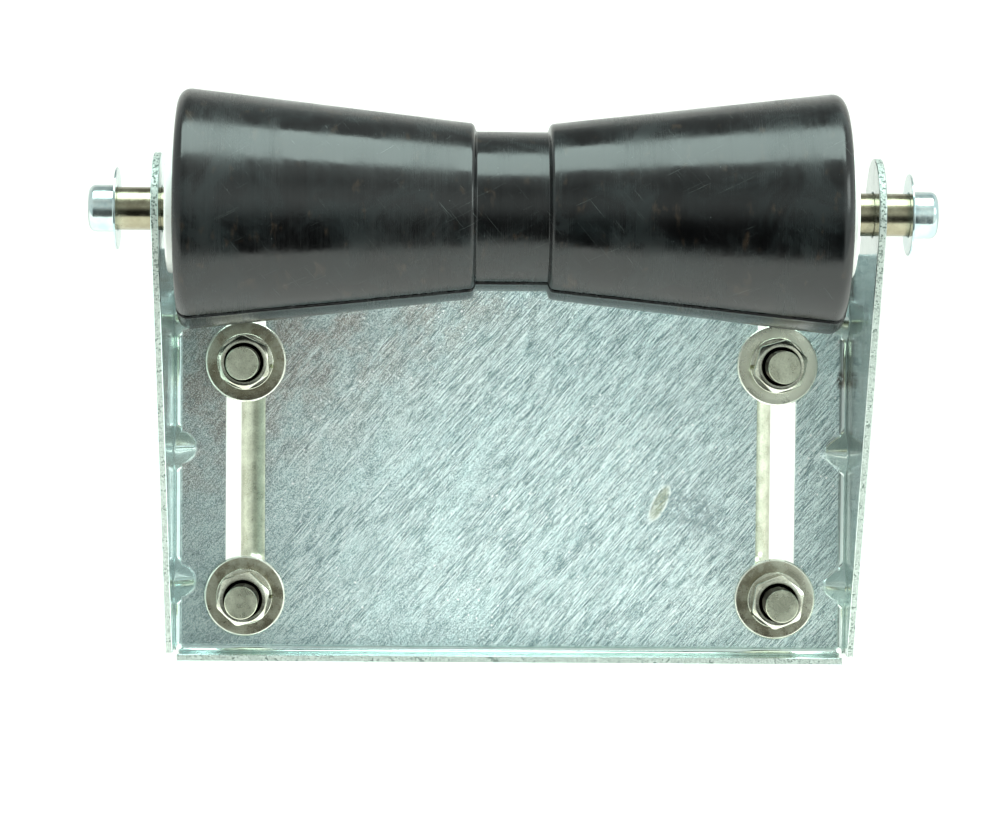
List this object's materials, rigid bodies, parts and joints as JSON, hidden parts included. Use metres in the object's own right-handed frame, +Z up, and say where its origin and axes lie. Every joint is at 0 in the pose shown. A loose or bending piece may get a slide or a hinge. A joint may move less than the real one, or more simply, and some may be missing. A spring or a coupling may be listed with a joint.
{
  "type": "keel roller bracket",
  "caption": "Pressed sheet bracket that holds a waisted rubber keel roller on a cross shaft in front of a square trailer beam, clamped on by square U-bolts through height slots.",
  "frame": {"origin": "middle of the bracket's flat back face, halfway between the four U-bolt legs", "axes": "+X along the roller and shaft, +Y back from the plate towards the beam, +Z up; the roller is on the -Y side"},
  "size_m": [0.3142, 0.206, 0.2198],
  "materials": {
    "zinc_sheet": "bright zinc plate with brushed streaks",
    "shaft_steel": "plated bar, satin",
    "cap_steel": "bright plated cap",
    "fastener_steel": "stainless, smooth",
    "roller_rubber": "moulded black rubber, soft gloss",
    "white_nylon": "milky white nylon"
  },
  "bodies": {
    "clamp": {"u_bolt_left": "fastener_steel", "u_bolt_right": "fastener_steel", "flat_washer_top_left": "fastener_steel", "flat_washer_top_right": "fastener_steel", "flat_washer_bottom_left": "fastener_steel", "flat_washer_bottom_right": "fastener_steel", "lock_washer_top_left": "fastener_steel", "lock_washer_top_right": "fastener_steel", "lock_washer_bottom_left": "fastener_steel", "lock_washer_bottom_right": "fastener_steel", "nut_top_left": "fastener_steel", "nut_top_right": "fastener_steel", "nut_bottom_left": "fastener_steel", "nut_bottom_right": "fastener_steel"},
    "bracket": {"bracket": "zinc_sheet"},
    "shaft": {"shaft": "shaft_steel", "push_cap_left": "cap_steel", "push_cap_right": "cap_steel"},
    "thrust_washers": {"thrust_washer_left": "white_nylon", "thrust_washer_right": "white_nylon"},
    "roller": {"roller": "roller_rubber"}
  },
  "joints": [
    {"name": "height_adjust", "type": "slide", "parent": "clamp", "child": "bracket", "axis": [0, 0, 1], "range_m": [-0.0175, 0.0035]},
    {"name": "shaft_float", "type": "slide", "parent": "bracket", "child": "shaft", "axis": [1, 0, 0], "range_m": [-0.0102, 0.0132]},
    {"name": "roller_float", "type": "slide", "parent": "bracket", "child": "thrust_washers", "axis": [1, 0, 0], "range_m": [-0.0021, 0.0071]},
    {"name": "roller_spin", "type": "hinge", "parent": "thrust_washers", "child": "roller", "pos_m": [0, -0.07265, 0.1044], "axis": [1, 0, 0], "continuous": true}
  ]
}
